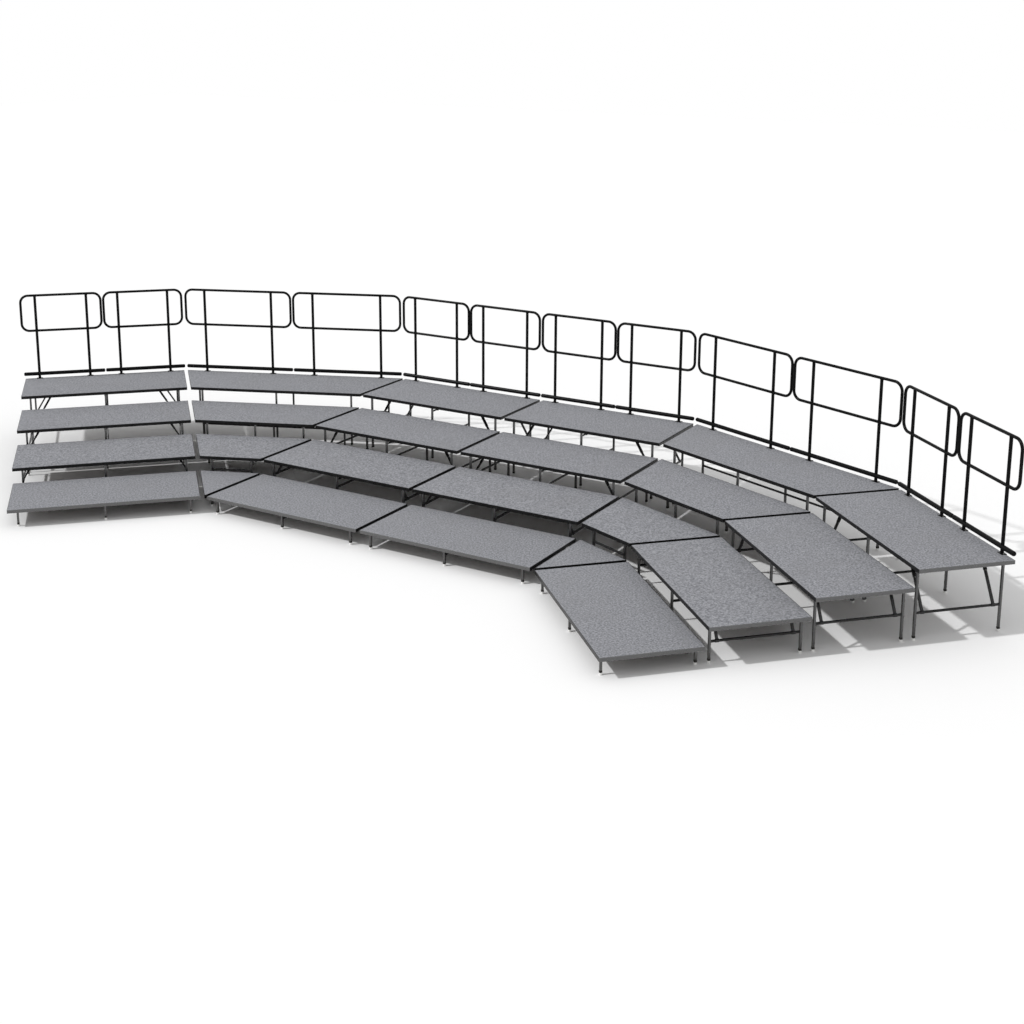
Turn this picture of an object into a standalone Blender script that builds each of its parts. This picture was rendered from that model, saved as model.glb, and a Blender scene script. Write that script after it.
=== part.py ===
"""Seated riser: four curved tiers of carpeted folding platforms with lift-off guard rails.

Metres, +Z up. The origin is at the middle of the floor area that the riser covers,
+X runs along the straight centre units and +Y points from the audience side to the back.
"""

import math

import bmesh
import bpy
from mathutils import Matrix, Vector

INCH = 0.0254

# Layout of the whole riser
TIER_COUNT = 4
FIRST_TOP = 9.5 * INCH
TIER_RISE = 8 * INCH
TIER_PITCH = 46 * INCH
DECK_LENGTH = 96 * INCH
DECK_DEPTH = 44.75 * INCH
SEAM = 2.25 * INCH
WING_ANGLE = math.radians(45)
WEDGE_NOSE = 3.7 * INCH

# Platform top
EDGE_HEIGHT = 0.044
BOARD_THICKNESS = 0.025
SKIRT_WIDTH = 0.030
TRIM_WALL = 0.004
LEDGE_WIDTH = 0.034
LEDGE_THICKNESS = 0.004
TRIM_BELOW_TOP = 0.001
FIT_GAP = 0.0004

# Legs
TUBE_SIDES = 6
LEG_WIDTH = 0.027
PIVOT_RADIUS = 0.0125
CROSSBAR_RADIUS = 0.0132
LEG_END_INSET = 5 * INCH
LEG_EDGE_INSET = 2.3 * INCH
LEG_ROOT = 0.004
LEG_HEAD = 0.010
CROSSBAR_HEIGHT = {2: 9.25 * INCH, 3: 12.1 * INCH, 4: 12.1 * INCH}
PIVOT_BELOW_EDGE = 0.018
MIDDLE_PIVOT_DROP = 0.042
LUG_INSET = 0.200
LUG_WIDTH = 0.044
LUG_THICKNESS = 0.006
LUG_BELOW_PIVOT = 0.019
PIVOT_HOLE_RADIUS = 0.015
STRAP_WIDTH = 0.064
STRAP_THICKNESS = 0.0075
STRAP_BELOW_BOARD = 0.0008

# Braces of the end leg frames, which lean towards the middle of the platform
BRACE_LEAN = {"inner": 1, "outer": -1}
BRACE_FROM_LEG = 0.084
BRACE_RUN_PER_RISE = 0.60
BRACE_WIDTH = 0.032
BRACE_THICKNESS = 0.022
BRACE_ROD_RADIUS = 0.008
BRACE_ROD_DROP = 0.0095
BRACE_ROD_OVERHANG = 0.030
BRACE_EYE_HOLE = 0.0165
BRACE_EYE_RADIUS = 0.0205
BRACE_EYE_LENGTH = 0.040

# Wedge legs
WEDGE_SIDE_INSET = 0.185
WEDGE_EDGE_INSET = 0.070
WEDGE_NOSE_LEG = 0.280
WEDGE_MIDDLE_LEG_FROM = 1.20

# Guard rails
RAIL_HEIGHT = 53 * INCH
RAIL_LOOP_HEIGHT = 23.5 * INCH
RAIL_CORNER_RADIUS = 4.5 * INCH
RAIL_CORNER_STEPS = 2
RAIL_TUBE_RADIUS = 0.019
RAIL_TUBE_SIDES = 6
RAIL_POST_RADIUS = 0.020
RAIL_POST_PLACE = 0.19
RAIL_FROM_BACK = 0.026
RAIL_GAP = 0.010
TOE_BAR_RADIUS = 0.025
TOE_BAR_HEIGHT = 3 * INCH
SADDLE_HALF_WIDTH = 0.045
SADDLE_THICKNESS = 0.006
SADDLE_TONGUE = 0.040
SADDLE_FRONT = 0.028

# Clamp knobs under the outer end of the third tier
KNOB_TIER = 3
KNOB_PLACES = {"front": 0.37, "back": 0.49}
KNOB_RADIUS = 0.019
KNOB_HEIGHT = 0.020
KNOB_NECK_RADIUS = 0.006
KNOB_NECK_LENGTH = 0.028
KNOB_FROM_END = 0.024
KNOB_SIDES = 10

PIVOT_BELOW_TOP = EDGE_HEIGHT + PIVOT_BELOW_EDGE
CENTRE_END_X = DECK_LENGTH + SEAM / 2
BACK_EDGE_Y = (TIER_COUNT - 1) * TIER_PITCH + DECK_DEPTH
BACK_REACH_Y = BACK_EDGE_Y + FIT_GAP + SADDLE_THICKNESS
WING_START_Y = -WEDGE_NOSE * math.sin(WING_ANGLE / 2)
FRONT_REACH_Y = WING_START_Y - DECK_LENGTH * math.sin(WING_ANGLE)
ORIGIN_Y = (FRONT_REACH_Y + BACK_REACH_Y) / 2


def clear_scene():
    """Start from an empty scene."""
    for old in list(bpy.data.objects):
        bpy.data.objects.remove(old, do_unlink=True)


def make_material(name, colour, roughness, metallic):
    """One plain finish."""
    material = bpy.data.materials.new(name)
    material.use_nodes = True
    shader = material.node_tree.nodes["Principled BSDF"]
    shader.inputs["Base Color"].default_value = (*colour, 1.0)
    shader.inputs["Roughness"].default_value = roughness
    shader.inputs["Metallic"].default_value = metallic
    return material


def place(name, mesh, material, frame):
    """One named object with the shared mesh at a place in the room."""
    item = bpy.data.objects.new(name, mesh)
    item.matrix_world = frame
    bpy.context.collection.objects.link(item)
    if not mesh.materials:
        mesh.materials.append(material)
    return item


def mesh_from(name, build):
    """Mesh data with outward faces."""
    bmesh.ops.recalc_face_normals(build, faces=build.faces)
    mesh = bpy.data.meshes.new(name)
    build.to_mesh(mesh)
    build.free()
    return mesh


def unite(name, base, additions):
    """One closed mesh from a base and pieces that overlap it and each other."""
    base_item = bpy.data.objects.new(name + "_base", mesh_from(name + "_base", base))
    added_item = bpy.data.objects.new(name + "_added", mesh_from(name + "_added", additions))
    for item in (base_item, added_item):
        bpy.context.collection.objects.link(item)
    union = base_item.modifiers.new("weld", "BOOLEAN")
    union.operation = "UNION"
    union.solver = "EXACT"
    union.use_self = True
    union.object = added_item
    view = bpy.context.evaluated_depsgraph_get()
    mesh = bpy.data.meshes.new_from_object(base_item.evaluated_get(view))
    mesh.name = name
    for item in (base_item, added_item):
        bpy.data.objects.remove(item, do_unlink=True)
    return mesh


def add_tube(build, start, end, radius, sides=TUBE_SIDES):
    """A round tube, drawn as a closed prism, between two points."""
    start, end = Vector(start), Vector(end)
    run = end - start
    turn = run.to_track_quat("Z", "Y").to_matrix().to_4x4()
    place_tube = Matrix.Translation((start + end) / 2) @ turn
    bmesh.ops.create_cone(build, cap_ends=True, segments=sides, radius1=radius, radius2=radius,
                          depth=run.length, matrix=place_tube)


def add_bar(build, start, end, width, thickness, side=(0, 1, 0)):
    """A bar between two points, with its width along the side direction."""
    start, end, side = Vector(start), Vector(end), Vector(side)
    run = end - start
    along = run.normalized()
    flat = side.cross(along)
    columns = Matrix((side * width, flat * thickness, run)).transposed().to_4x4()
    bmesh.ops.create_cube(build, size=1.0, matrix=Matrix.Translation((start + end) / 2) @ columns)


def add_box(build, low, high):
    """A box between two corners."""
    low, high = Vector(low), Vector(high)
    size = Matrix.Diagonal((high - low).to_4d())
    size[3][3] = 1.0
    bmesh.ops.create_cube(build, size=1.0, matrix=Matrix.Translation((low + high) / 2) @ size)


def add_ring(build, centre, hole_radius, outline, length, sides=TUBE_SIDES):
    """A plate or collar along Y with a hole, from an outline point for each corner of the hole."""
    centre = Vector(centre)
    loops = []
    for half in (-length / 2, length / 2):
        inner = []
        outer = []
        for corner in range(sides):
            angle = 2 * math.pi * corner / sides
            reach = Vector((math.cos(angle), 0, math.sin(angle)))
            inner.append(build.verts.new(centre + reach * hole_radius + Vector((0, half, 0))))
            offset = outline[corner]
            outer.append(build.verts.new(centre + Vector((offset[0], half, offset[1]))))
        loops.append((inner, outer))
    (near_inner, near_outer), (far_inner, far_outer) = loops
    for corner in range(sides):
        after = (corner + 1) % sides
        for first, second in ((near_inner, near_outer), (near_outer, far_outer),
                              (far_outer, far_inner), (far_inner, near_inner)):
            build.faces.new((first[corner], first[after], second[after], second[corner]))


def add_tray(build, outline, top, skirt):
    """A platform top: a board with a deeper skirt all round, from its plan outline."""
    base = [build.verts.new((x, y, top - EDGE_HEIGHT)) for x, y in outline]
    floor = build.faces.new(base)
    raised = bmesh.ops.extrude_face_region(build, geom=[floor])
    lifted = [v for v in raised["geom"] if isinstance(v, bmesh.types.BMVert)]
    bmesh.ops.translate(build, verts=lifted, vec=(0, 0, EDGE_HEIGHT))
    underside = [f for f in build.faces if all(v.co.z < top - EDGE_HEIGHT / 2 for v in f.verts)]
    bmesh.ops.inset_region(build, faces=underside, thickness=skirt, use_even_offset=True)
    recess = bmesh.ops.extrude_face_region(build, geom=underside)
    sunk = [v for v in recess["geom"] if isinstance(v, bmesh.types.BMVert)]
    bmesh.ops.translate(build, verts=sunk, vec=(0, 0, EDGE_HEIGHT - BOARD_THICKNESS))
    bmesh.ops.delete(build, geom=underside, context="FACES")


def deck_top(tier):
    """Height of a tier's carpet above the floor."""
    return FIRST_TOP + (tier - 1) * TIER_RISE


def brace_rise(tier):
    """Height from a crossbar to the brace's upper rod."""
    return deck_top(tier) - EDGE_HEIGHT - BRACE_ROD_DROP - CROSSBAR_HEIGHT[tier]


def add_leg_row(build, tier, feet):
    """Legs in a row, and on the taller tiers the crossbar that joins them."""
    top = deck_top(tier) - BOARD_THICKNESS + LEG_ROOT
    for foot in feet:
        add_bar(build, (*foot, 0), (*foot, top), LEG_WIDTH, LEG_WIDTH)
    if tier in CROSSBAR_HEIGHT and len(feet) > 1:
        height = CROSSBAR_HEIGHT[tier]
        add_tube(build, (*feet[0], height), (*feet[-1], height), CROSSBAR_RADIUS)


def add_braces(build, tier, x, lean):
    """The two braces from an end frame's crossbar up to the board of a straight platform."""
    height = CROSSBAR_HEIGHT[tier]
    rise = brace_rise(tier) + BRACE_ROD_DROP + EDGE_HEIGHT - BOARD_THICKNESS
    run = lean * rise * BRACE_RUN_PER_RISE
    from_edge = LEG_EDGE_INSET + BRACE_FROM_LEG
    for y in (from_edge, DECK_DEPTH - from_edge):
        add_bar(build, (x, y, height), (x + run, y, height + rise), BRACE_WIDTH, BRACE_THICKNESS)


def straight_stations():
    """Where the three leg frames of a straight unit stand along its length."""
    return {"inner": LEG_END_INSET, "middle": DECK_LENGTH / 2, "outer": DECK_LENGTH - LEG_END_INSET}


def straight_unit_mesh(tier):
    """A straight platform in one piece: top, skirt, six legs, crossbars and braces."""
    base = bmesh.new()
    outline = ((0, 0), (DECK_LENGTH, 0), (DECK_LENGTH, DECK_DEPTH), (0, DECK_DEPTH))
    add_tray(base, outline, deck_top(tier), SKIRT_WIDTH)
    legs = bmesh.new()
    for which, x in straight_stations().items():
        add_leg_row(legs, tier, [(x, LEG_EDGE_INSET), (x, DECK_DEPTH - LEG_EDGE_INSET)])
        if which in BRACE_LEAN and tier in CROSSBAR_HEIGHT:
            add_braces(legs, tier, x, BRACE_LEAN[which])
    return unite(f"straight_tier_{tier}", base, legs)


def wedge_apex():
    """Corner where the two long sides of the right wedge meet, before the centring shift."""
    half = WING_ANGLE / 2
    reach = SEAM + SEAM * math.cos(WING_ANGLE) - WEDGE_NOSE * math.cos(half)
    along = reach / math.sin(WING_ANGLE)
    y = -WEDGE_NOSE * math.sin(half) + SEAM * math.sin(WING_ANGLE) + along * math.cos(WING_ANGLE)
    return Vector((CENTRE_END_X + SEAM, y, 0))


def wedge_edges(tier):
    """Distance from the apex and half length of a wedge's front and back edges."""
    half = WING_ANGLE / 2
    front = max((tier - 1) * TIER_PITCH - wedge_apex().y, 0)
    back = (tier - 1) * TIER_PITCH + DECK_DEPTH - wedge_apex().y
    return [(reach * math.cos(half), reach * math.sin(half)) for reach in (front, back)]


def wedge_leg_row(distance, half_length):
    """Feet in a row across a wedge, with a middle leg where the row is long."""
    reach = half_length - WEDGE_SIDE_INSET
    places = (-reach, 0, reach) if 2 * reach > WEDGE_MIDDLE_LEG_FROM else (-reach, reach)
    return [(x, distance) for x in places]


def wedge_unit_mesh(tier):
    """A wedge platform in one piece, with leg rows along its front and its back edge."""
    (front, front_half), (back, back_half) = wedge_edges(tier)
    spread = math.tan(WING_ANGLE / 2)
    base = bmesh.new()
    if front_half > 0:
        outline = ((-front_half, front), (front_half, front), (back_half, back), (-back_half, back))
    else:
        outline = ((0, 0), (back_half, back), (-back_half, back))
    add_tray(base, outline, deck_top(tier), SKIRT_WIDTH)
    legs = bmesh.new()
    if front_half > 0:
        front_row = wedge_leg_row(front + WEDGE_EDGE_INSET, front_half + WEDGE_EDGE_INSET * spread)
    else:
        front_row = [(0, WEDGE_NOSE_LEG)]
    back_row = wedge_leg_row(back - WEDGE_EDGE_INSET, back_half - WEDGE_EDGE_INSET * spread)
    for row in (front_row, back_row):
        add_leg_row(legs, tier, row)
    return unite(f"wedge_tier_{tier}", base, legs)


def straight_frame(unit, tier):
    """Place of a straight unit's left front floor corner."""
    back = Vector((0, (tier - 1) * TIER_PITCH, 0))
    if unit == "centre_left":
        return Matrix.Translation(Vector((-CENTRE_END_X, -ORIGIN_Y, 0)) + back)
    if unit == "centre_right":
        return Matrix.Translation(Vector((SEAM / 2, -ORIGIN_Y, 0)) + back)
    nose_x = CENTRE_END_X + WEDGE_NOSE * math.cos(WING_ANGLE / 2)
    if unit == "right_wing":
        turn = Matrix.Rotation(-WING_ANGLE, 4, "Z")
        corner = Vector((nose_x, WING_START_Y - ORIGIN_Y, 0))
    else:
        turn = Matrix.Rotation(WING_ANGLE, 4, "Z")
        corner = Vector((-nose_x, WING_START_Y - ORIGIN_Y, 0)) - turn @ Vector((DECK_LENGTH, 0, 0))
    return Matrix.Translation(corner + turn @ back) @ turn


def wedge_frame(unit):
    """Place of a wedge's apex, with its back edges square to local Y."""
    apex = wedge_apex() - Vector((0, ORIGIN_Y, 0))
    side = 1
    if unit == "left_wedge":
        side = -1
    turn = Matrix.Rotation(-side * WING_ANGLE / 2, 4, "Z")
    return Matrix.Translation((side * apex.x, apex.y, 0)) @ turn


def make_fixed_platforms(carpet):
    """Every platform but the right wing, each in one piece."""
    for tier in range(1, TIER_COUNT + 1):
        straight = straight_unit_mesh(tier)
        for unit in ("left_wing", "centre_left", "centre_right"):
            place(f"{unit}_tier_{tier}_platform", straight, carpet, straight_frame(unit, tier))
        wedge = wedge_unit_mesh(tier)
        for unit in ("left_wedge", "right_wedge"):
            place(f"{unit}_tier_{tier}_platform", wedge, carpet, wedge_frame(unit))


def deck_board_mesh():
    """The carpeted board that drops into an edge frame, with its origin at the top surface."""
    build = bmesh.new()
    inset = TRIM_WALL + FIT_GAP
    add_box(build, (inset, inset, -BOARD_THICKNESS), (DECK_LENGTH - inset, DECK_DEPTH - inset, 0))
    return mesh_from("deck_board", build)


def add_trim(build):
    """The rolled edge section all round: outer wall with a ledge under the board."""
    ledge = -BOARD_THICKNESS - FIT_GAP
    section = ((0, -EDGE_HEIGHT), (0, -TRIM_BELOW_TOP), (TRIM_WALL, -TRIM_BELOW_TOP),
               (TRIM_WALL, ledge), (LEDGE_WIDTH, ledge), (LEDGE_WIDTH, ledge - LEDGE_THICKNESS),
               (TRIM_WALL, ledge - LEDGE_THICKNESS), (TRIM_WALL, -EDGE_HEIGHT))
    corners = ((0, 0, 1, 1), (DECK_LENGTH, 0, -1, 1), (DECK_LENGTH, DECK_DEPTH, -1, -1),
               (0, DECK_DEPTH, 1, -1))
    rings = [[build.verts.new((x + dx * inset, y + dy * inset, z)) for inset, z in section]
             for x, y, dx, dy in corners]
    for index, ring in enumerate(rings):
        following = rings[(index + 1) % len(rings)]
        for point in range(len(section)):
            after = (point + 1) % len(section)
            build.faces.new((ring[point], following[point], following[after], ring[after]))


def pivot_drop(which):
    """How far a leg frame's pivot lies below the platform top."""
    if which == "middle":
        return PIVOT_BELOW_TOP + MIDDLE_PIVOT_DROP
    return PIVOT_BELOW_TOP


def add_lug(build, x, y, drop):
    """A hanging plate with the hole that carries one end of a pivot tube."""
    half = LUG_WIDTH / 2
    head = drop - BOARD_THICKNESS - STRAP_THICKNESS / 2
    outline = ((half, 0), (half, head), (-half, head), (-half, 0), (-half, -LUG_BELOW_PIVOT),
               (half, -LUG_BELOW_PIVOT))
    add_ring(build, (x, y, -drop), PIVOT_HOLE_RADIUS, outline, LUG_THICKNESS)


def add_strap(build, x):
    """A flat cross strap under the board, from the front ledge to the back one."""
    high = -BOARD_THICKNESS - STRAP_BELOW_BOARD
    low = high - STRAP_THICKNESS
    near = LEDGE_WIDTH / 2
    add_box(build, (x - STRAP_WIDTH / 2, near, low), (x + STRAP_WIDTH / 2, DECK_DEPTH - near, high))


def edge_frame_mesh(tier):
    """The steel edge frame with cross straps and pivot lugs, origin at the platform top."""
    base = bmesh.new()
    add_trim(base)
    fittings = bmesh.new()
    for which, x in straight_stations().items():
        add_strap(fittings, x)
        for y in (LUG_INSET, DECK_DEPTH - LUG_INSET):
            add_lug(fittings, x, y, pivot_drop(which))
    return unite(f"edge_frame_tier_{tier}", base, fittings)


def leg_frame_mesh(tier, which):
    """A folding leg frame: pivot tube, two legs and a crossbar, with its origin on the pivot."""
    height = deck_top(tier) - pivot_drop(which)
    head = LEG_HEAD + pivot_drop(which) - PIVOT_BELOW_TOP
    half = DECK_DEPTH / 2 - LEG_EDGE_INSET
    base = bmesh.new()
    add_tube(base, (0, -half, 0), (0, half, 0), PIVOT_RADIUS)
    added = bmesh.new()
    for y in (-half, half):
        add_bar(added, (0, y, -height), (0, y, head), LEG_WIDTH, LEG_WIDTH)
    if tier in CROSSBAR_HEIGHT:
        z = CROSSBAR_HEIGHT[tier] - height
        add_tube(added, (0, -half, z), (0, half, z), CROSSBAR_RADIUS)
    return unite(f"leg_frame_{which}_tier_{tier}", base, added)


def brace_mesh(tier, lean):
    """Two brace bars with eyes round the crossbar and one rod under the board."""
    rise = brace_rise(tier)
    run = lean * rise * BRACE_RUN_PER_RISE
    reach = Vector((run, 0, rise)).normalized() * (BRACE_EYE_HOLE + BRACE_EYE_RADIUS) / 2
    bar_y = DECK_DEPTH / 2 - LEG_EDGE_INSET - BRACE_FROM_LEG
    turns = [2 * math.pi * corner / TUBE_SIDES for corner in range(TUBE_SIDES)]
    eye = [(BRACE_EYE_RADIUS * math.cos(turn), BRACE_EYE_RADIUS * math.sin(turn)) for turn in turns]
    rod_y = bar_y + BRACE_ROD_OVERHANG
    base = bmesh.new()
    add_tube(base, (run, -rod_y, rise), (run, rod_y, rise), BRACE_ROD_RADIUS)
    added = bmesh.new()
    for y in (-bar_y, bar_y):
        add_ring(added, (0, y, 0), BRACE_EYE_HOLE, eye, BRACE_EYE_LENGTH)
        add_bar(added, (reach.x, y, reach.z), (run, y, rise), BRACE_WIDTH, BRACE_THICKNESS)
    return unite(f"brace_tier_{tier}_{lean}", base, added)


def make_right_wing(carpet, trim, steel):
    """The right wing column, taken apart: boards, edge frames, leg frames and braces."""
    board = deck_board_mesh()
    for tier in range(1, TIER_COUNT + 1):
        unit = straight_frame("right_wing", tier)
        top = unit @ Matrix.Translation((0, 0, deck_top(tier)))
        name = f"right_wing_tier_{tier}"
        place(f"{name}_deck_board", board, carpet, top)
        place(f"{name}_edge_frame", edge_frame_mesh(tier), trim, top)
        for which, x in straight_stations().items():
            pivot = top @ Matrix.Translation((x, DECK_DEPTH / 2, -pivot_drop(which)))
            place(f"{name}_leg_frame_{which}", leg_frame_mesh(tier, which), steel, pivot)
            if which in BRACE_LEAN and tier in CROSSBAR_HEIGHT:
                crossbar = unit @ Matrix.Translation((x, DECK_DEPTH / 2, CROSSBAR_HEIGHT[tier]))
                place(f"{name}_brace_{which}", brace_mesh(tier, BRACE_LEAN[which]), steel, crossbar)


def knob_mesh():
    """A turned clamp knob with a short neck, its origin at the top of the neck."""
    base = bmesh.new()
    grip_top = -KNOB_NECK_LENGTH
    add_tube(base, (0, 0, grip_top - KNOB_HEIGHT), (0, 0, grip_top), KNOB_RADIUS, KNOB_SIDES)
    neck = bmesh.new()
    add_tube(neck, (0, 0, grip_top - KNOB_HEIGHT / 2), (0, 0, 0), KNOB_NECK_RADIUS)
    return unite("clamp_knob", base, neck)


def make_knobs(black):
    """Two clamp knobs under the outer end of one right wing platform."""
    mesh = knob_mesh()
    unit = straight_frame("right_wing", KNOB_TIER)
    z = deck_top(KNOB_TIER) - BOARD_THICKNESS - LEDGE_THICKNESS - 2 * FIT_GAP
    for where, share in KNOB_PLACES.items():
        spot = Matrix.Translation((DECK_LENGTH - KNOB_FROM_END, share * DECK_DEPTH, z))
        place(f"clamp_knob_{where}", mesh, black, unit @ spot)


def loop_points(width):
    """Centre line of a rail loop in X and Z, anticlockwise from the right lower corner."""
    half = width / 2 - RAIL_TUBE_RADIUS
    low = RAIL_HEIGHT - RAIL_LOOP_HEIGHT + RAIL_TUBE_RADIUS
    high = RAIL_HEIGHT - RAIL_TUBE_RADIUS
    r = RAIL_CORNER_RADIUS
    centres = ((half - r, low + r, -90), (half - r, high - r, 0), (r - half, high - r, 90),
               (r - half, low + r, 180))
    points = []
    for x, z, start in centres:
        for step in range(RAIL_CORNER_STEPS + 1):
            angle = math.radians(start + 90 * step / RAIL_CORNER_STEPS)
            points.append((x + r * math.cos(angle), z + r * math.sin(angle), angle))
    return points


def add_loop(build, width):
    """A bent tube in a closed rounded rectangle."""
    rings = []
    for x, z, angle in loop_points(width):
        out = Vector((math.cos(angle), 0, math.sin(angle)))
        ring = []
        for side in range(RAIL_TUBE_SIDES):
            turn = 2 * math.pi * (side + 0.5) / RAIL_TUBE_SIDES
            offset = out * math.cos(turn) + Vector((0, math.sin(turn), 0))
            ring.append(build.verts.new(Vector((x, 0, z)) + offset * RAIL_TUBE_RADIUS))
        rings.append(ring)
    for index, ring in enumerate(rings):
        following = rings[(index + 1) % len(rings)]
        for side in range(RAIL_TUBE_SIDES):
            after = (side + 1) % RAIL_TUBE_SIDES
            build.faces.new((ring[side], following[side], following[after], ring[after]))


def rail_mesh(name, width):
    """A lift-off guard rail: loop, two posts on saddle feet and the toe bar."""
    base = bmesh.new()
    add_loop(base, width)
    added = bmesh.new()
    post_x = width / 2 - RAIL_POST_PLACE * width
    rear = RAIL_FROM_BACK + FIT_GAP
    post_foot, post_head = SADDLE_THICKNESS / 2, RAIL_HEIGHT - RAIL_TUBE_RADIUS
    for x in (-post_x, post_x):
        add_tube(added, (x, 0, post_foot), (x, 0, post_head), RAIL_POST_RADIUS)
        left, right = x - SADDLE_HALF_WIDTH, x + SADDLE_HALF_WIDTH
        add_box(added, (left, -SADDLE_FRONT, FIT_GAP), (right, rear + SADDLE_THICKNESS / 2, SADDLE_THICKNESS))
        add_box(added, (left + FIT_GAP, rear, -SADDLE_TONGUE),
                (right - FIT_GAP, rear + SADDLE_THICKNESS, SADDLE_THICKNESS - FIT_GAP))
    bar = width / 2 - RAIL_TUBE_RADIUS / 2
    add_tube(added, (-bar, 0, TOE_BAR_HEIGHT), (bar, 0, TOE_BAR_HEIGHT), TOE_BAR_RADIUS, RAIL_TUBE_SIDES)
    return unite(name, base, added)


def make_guard_rails(black):
    """Two rails on the back edge of each top tier unit, counted from the left."""
    top = deck_top(TIER_COUNT)
    back, back_half = wedge_edges(TIER_COUNT)[1]
    straight_run = DECK_LENGTH + SEAM - RAIL_GAP
    straight = rail_mesh("guard_rail_straight", straight_run / 2 - RAIL_GAP / 2)
    wedge = rail_mesh("guard_rail_wedge", back_half - RAIL_GAP)
    number = 1
    for unit in ("left_wing", "left_wedge", "centre_left", "centre_right", "right_wedge", "right_wing"):
        if unit.endswith("wedge"):
            frame, mesh = wedge_frame(unit), wedge
            middle, half, y = 0, back_half / 2, back - RAIL_FROM_BACK
        else:
            frame, mesh = straight_frame(unit, TIER_COUNT), straight
            middle, half, y = DECK_LENGTH / 2, straight_run / 4, DECK_DEPTH - RAIL_FROM_BACK
        for x in (middle - half, middle + half):
            place(f"guard_rail_{number:02d}", mesh, black, frame @ Matrix.Translation((x, y, top)))
            number += 1


clear_scene()
carpet_grey = make_material("carpet_grey", (0.19, 0.19, 0.21), 0.95, 0.0)
trim_dark = make_material("trim_dark", (0.06, 0.06, 0.065), 0.5, 0.6)
leg_steel = make_material("leg_steel", (0.03, 0.03, 0.032), 0.45, 0.6)
rail_black = make_material("rail_black", (0.01, 0.01, 0.01), 0.4, 0.5)
make_fixed_platforms(carpet_grey)
make_right_wing(carpet_grey, trim_dark, leg_steel)
make_knobs(rail_black)
make_guard_rails(rail_black)
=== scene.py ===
import math

import bmesh
import bpy
from mathutils import Matrix, Vector


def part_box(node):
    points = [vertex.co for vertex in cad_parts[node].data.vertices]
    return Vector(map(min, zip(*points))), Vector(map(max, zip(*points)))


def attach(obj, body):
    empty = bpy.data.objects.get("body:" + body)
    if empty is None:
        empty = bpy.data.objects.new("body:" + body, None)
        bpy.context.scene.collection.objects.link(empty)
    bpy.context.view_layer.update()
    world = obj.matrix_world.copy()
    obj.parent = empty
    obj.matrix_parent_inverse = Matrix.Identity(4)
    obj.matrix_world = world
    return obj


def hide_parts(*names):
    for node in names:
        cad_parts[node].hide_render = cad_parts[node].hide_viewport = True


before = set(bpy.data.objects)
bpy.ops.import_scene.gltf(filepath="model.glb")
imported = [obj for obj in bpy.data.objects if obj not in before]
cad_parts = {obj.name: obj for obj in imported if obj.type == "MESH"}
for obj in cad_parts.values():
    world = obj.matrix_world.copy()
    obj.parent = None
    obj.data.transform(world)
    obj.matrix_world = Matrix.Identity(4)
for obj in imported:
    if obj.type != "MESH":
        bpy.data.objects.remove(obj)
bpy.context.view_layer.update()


# Studio. A white floor runs into a white backdrop under one large lamp, high at the front left,
# with even light from all round. The camera stands where the photograph was taken from.
floor_reach = 70.0
floor_drop = 0.0006
floor_colour = (0.93, 0.93, 0.93, 1.0)
surround_strength = 0.69
lamp_travel = Vector((0.75, 0.73, -1.0))
lamp_strength = 1.82
lamp_spread = math.radians(2.2)
camera_place = Vector((10.4493, -15.4321, 6.5634))
camera_heading = math.radians(30.488)
camera_dip = math.radians(12.652)
camera_roll = math.radians(0.271)
lens_in_pixels = 1474.3
picture_width = 1024
axis_row = 339.9
sensor_width = 36.0


def feed(tree, socket, value):
    """Set a socket to a value, or link another node's output into it."""
    if isinstance(value, bpy.types.NodeSocket):
        tree.links.new(value, socket)
    else:
        socket.default_value = value


def calculate(tree, operation, *values):
    """The result of a Math node."""
    made = tree.nodes.new("ShaderNodeMath")
    made.operation = operation
    for socket, value in zip(made.inputs, values):
        feed(tree, socket, value)
    return made.outputs[0]


def new_finish(name, roughness, metallic=0.0, specular=0.5):
    """A material with its node tree and its Principled shader."""
    material = bpy.data.materials.new(name)
    material.use_nodes = True
    shader = material.node_tree.nodes["Principled BSDF"]
    shader.inputs["Roughness"].default_value = roughness
    shader.inputs["Metallic"].default_value = metallic
    shader.inputs["Specular IOR Level"].default_value = specular
    return material, material.node_tree, shader


bpy.ops.object.select_all(action="DESELECT")
bpy.ops.mesh.primitive_plane_add(size=2 * floor_reach, location=(0, 0, -floor_drop))
floor = bpy.context.object
floor.name = "studio_floor"
floor_finish, tree, shader = new_finish("floor_white", 1.0, specular=0.0)
shader.inputs["Base Color"].default_value = floor_colour
floor.data.materials.append(floor_finish)

world = bpy.data.worlds.new("studio_surround")
world.use_nodes = True
bpy.context.scene.world = world
tree = world.node_tree
path = tree.nodes.new("ShaderNodeLightPath")
seen = calculate(tree, "MAXIMUM", path.outputs["Is Camera Ray"], path.outputs["Is Glossy Ray"])
seen = calculate(tree, "MAXIMUM", seen, path.outputs["Is Transmission Ray"])
surround = tree.nodes["Background"]
surround.inputs["Color"].default_value = (1.0, 1.0, 1.0, 1.0)
strength = calculate(tree, "MULTIPLY_ADD", seen, 1.0 - surround_strength, surround_strength)
feed(tree, surround.inputs["Strength"], strength)

bpy.ops.object.light_add(type="SUN", location=-8 * lamp_travel,
                         rotation=lamp_travel.to_track_quat("-Z", "Y").to_euler())
lamp = bpy.context.object
lamp.name = "studio_lamp"
lamp.data.energy = lamp_strength
lamp.data.angle = lamp_spread

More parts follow.
